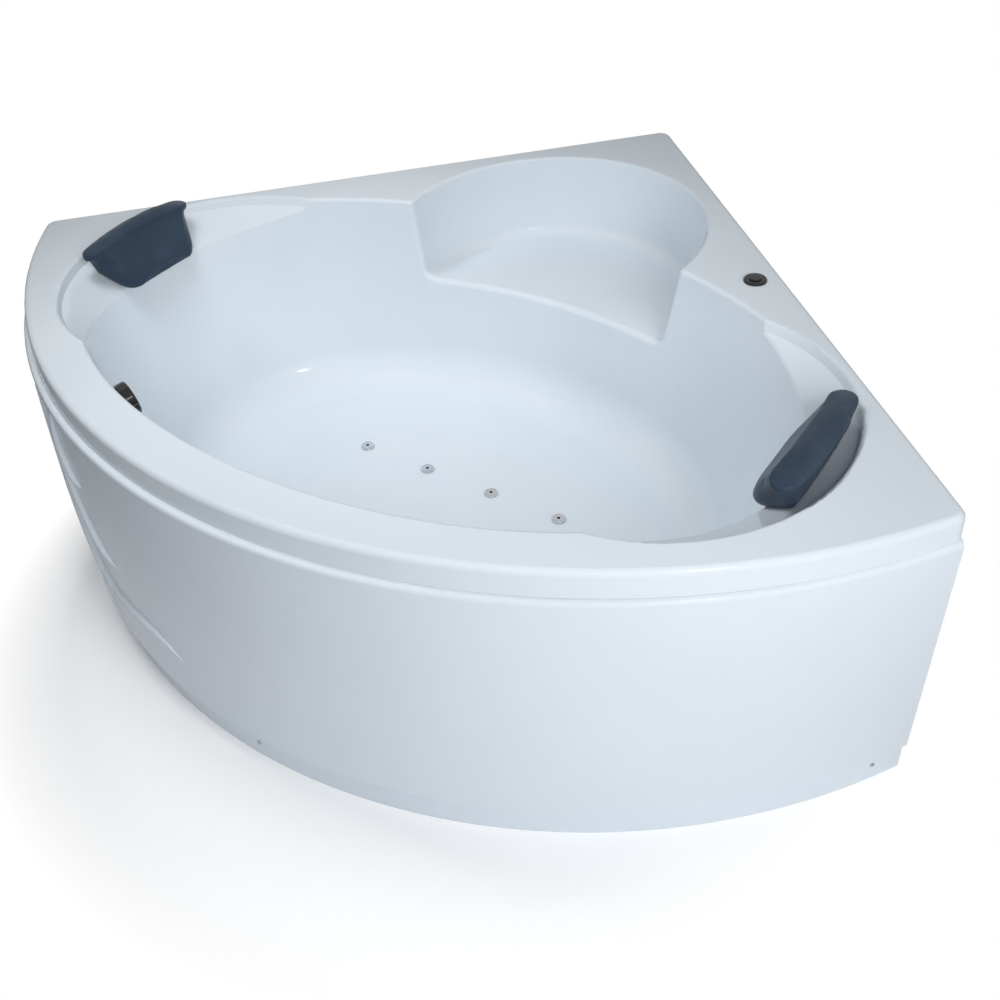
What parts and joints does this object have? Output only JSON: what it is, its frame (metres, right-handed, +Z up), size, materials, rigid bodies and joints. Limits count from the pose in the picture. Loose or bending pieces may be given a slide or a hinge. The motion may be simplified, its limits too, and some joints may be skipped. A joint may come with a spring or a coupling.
{
  "type": "corner bathtub",
  "caption": "Corner bathtub with a curved gilled front panel, round seat recess, two headrest cushions, floor air jets, and a knob-worked pop-up waste.",
  "frame": {"origin": "middle of the base's bounding box, on the floor", "axes": "+Z up; the back wall runs along X at the +Y side and the right wall along Y at the +X side, so the room's corner is at +X +Y and the curved front faces -X -Y"},
  "size_m": [1.516, 1.516, 0.66],
  "materials": {
    "acrylic": "polished sanitary acrylic, cool white",
    "panel_acrylic": "polished sanitary acrylic, cool white",
    "cushion": "soft moulded foam with a smooth dark slate-blue skin",
    "chrome": "polished chrome plate",
    "black_gloss": "black, polished",
    "dark_grey": "dark grey, satin to polished",
    "steel": "bright zinc plated",
    "frame_paint": "grey powder coat",
    "board": "plain resin-bonded board",
    "white_pipe": "white moulded pipe",
    "grey_plastic": "mid grey moulded",
    "black_rubber": "black rubber",
    "clear_tube": "milky flexible tube",
    "motor_metal": "cast, as made"
  },
  "bodies": {
    "tub": {"air_hose": "grey_plastic", "air_jet_1": "chrome", "air_jet_2": "chrome", "air_jet_3": "chrome", "air_jet_4": "chrome", "air_manifold": "white_pipe", "base_board": "board", "blower_case": "grey_plastic", "blower_cover": "grey_plastic", "blower_feet": "black_rubber", "blower_motor": "motor_metal", "blower_tray": "steel", "button_bellows": "black_rubber", "button_bezel": "black_gloss", "button_nut": "grey_plastic", "button_tube": "clear_tube", "check_valve": "white_pipe", "control_box": "white_pipe", "corner_post": "frame_paint", "drain_body": "white_pipe", "drain_flange": "chrome", "drain_gasket": "black_rubber", "foot_nuts": "steel", "frame_front_rail": "frame_paint", "frame_left_rail": "frame_paint", "frame_rear_rail": "frame_paint", "frame_right_rail": "frame_paint", "frame_spine": "frame_paint", "front_panel": "panel_acrylic", "front_post_left": "frame_paint", "front_post_right": "frame_paint", "jet_nuts": "grey_plastic", "motor_cap": "grey_plastic", "overflow_body": "white_pipe", "overflow_gasket": "black_rubber", "overflow_pipe": "white_pipe", "overflow_ring": "chrome", "pillow_left": "cushion", "pillow_pins": "white_pipe", "pillow_right": "cushion", "plinth": "panel_acrylic", "plinth_brackets": "steel", "plinth_screws": "steel", "rear_post_left": "frame_paint", "rear_post_right": "frame_paint", "seat_pad": "board", "seat_post": "frame_paint", "trap": "white_pipe", "tub_shell": "acrylic", "waste_cable": "dark_grey"},
    "button": {"button_cap": "black_gloss"},
    "impeller": {"blower_impeller": "white_pipe"},
    "knob": {"overflow_knob": "dark_grey"},
    "plug": {"drain_plug": "chrome"},
    "foot_1_body": {"foot_1": "steel"},
    "foot_2_body": {"foot_2": "steel"},
    "foot_3_body": {"foot_3": "steel"},
    "foot_4_body": {"foot_4": "steel"},
    "foot_5_body": {"foot_5": "steel"},
    "foot_6_body": {"foot_6": "steel"}
  },
  "joints": [
    {"name": "button_press", "type": "slide", "parent": "tub", "child": "button", "axis": [0, 0, -1], "range_m": [0, 0.003], "stiffness_N_per_m": 400, "springref_m": -0.003},
    {"name": "impeller_spin", "type": "hinge", "parent": "tub", "child": "impeller", "pos_m": [0.30544, 0.54586, 0.214], "axis": [0, 0, 1], "continuous": true},
    {"name": "knob_turn", "type": "hinge", "parent": "tub", "child": "knob", "pos_m": [-0.53343, 0.02518, 0.57], "axis": [0.8985, 0.4138, 0.1467], "range_deg": [0, 90]},
    {"name": "plug_lift", "type": "slide", "parent": "tub", "child": "plug", "axis": [0, 0, 1], "range_m": [0, 0.01]},
    {"name": "foot_1_turn", "type": "hinge", "parent": "tub", "child": "foot_1_body", "pos_m": [0.63425, 0.63425, 0], "axis": [0, 0, 1], "continuous": true},
    {"name": "foot_2_turn", "type": "hinge", "parent": "tub", "child": "foot_2_body", "pos_m": [-0.07145, 0.68233, 0], "axis": [0, 0, 1], "continuous": true},
    {"name": "foot_3_turn", "type": "hinge", "parent": "tub", "child": "foot_3_body", "pos_m": [0.68233, -0.07145, 0], "axis": [0, 0, 1], "continuous": true},
    {"name": "foot_4_turn", "type": "hinge", "parent": "tub", "child": "foot_4_body", "pos_m": [-0.68027, 0.34928, 0], "axis": [0, 0, 1], "continuous": true},
    {"name": "foot_5_turn", "type": "hinge", "parent": "tub", "child": "foot_5_body", "pos_m": [-0.16549, -0.16549, 0], "axis": [0, 0, 1], "continuous": true},
    {"name": "foot_6_turn", "type": "hinge", "parent": "tub", "child": "foot_6_body", "pos_m": [0.34928, -0.68027, 0], "axis": [0, 0, 1], "continuous": true}
  ],
  "couplings": [
    {"joint": "knob_turn", "follows": "plug_lift", "rad_per_m": 157.08}
  ]
}
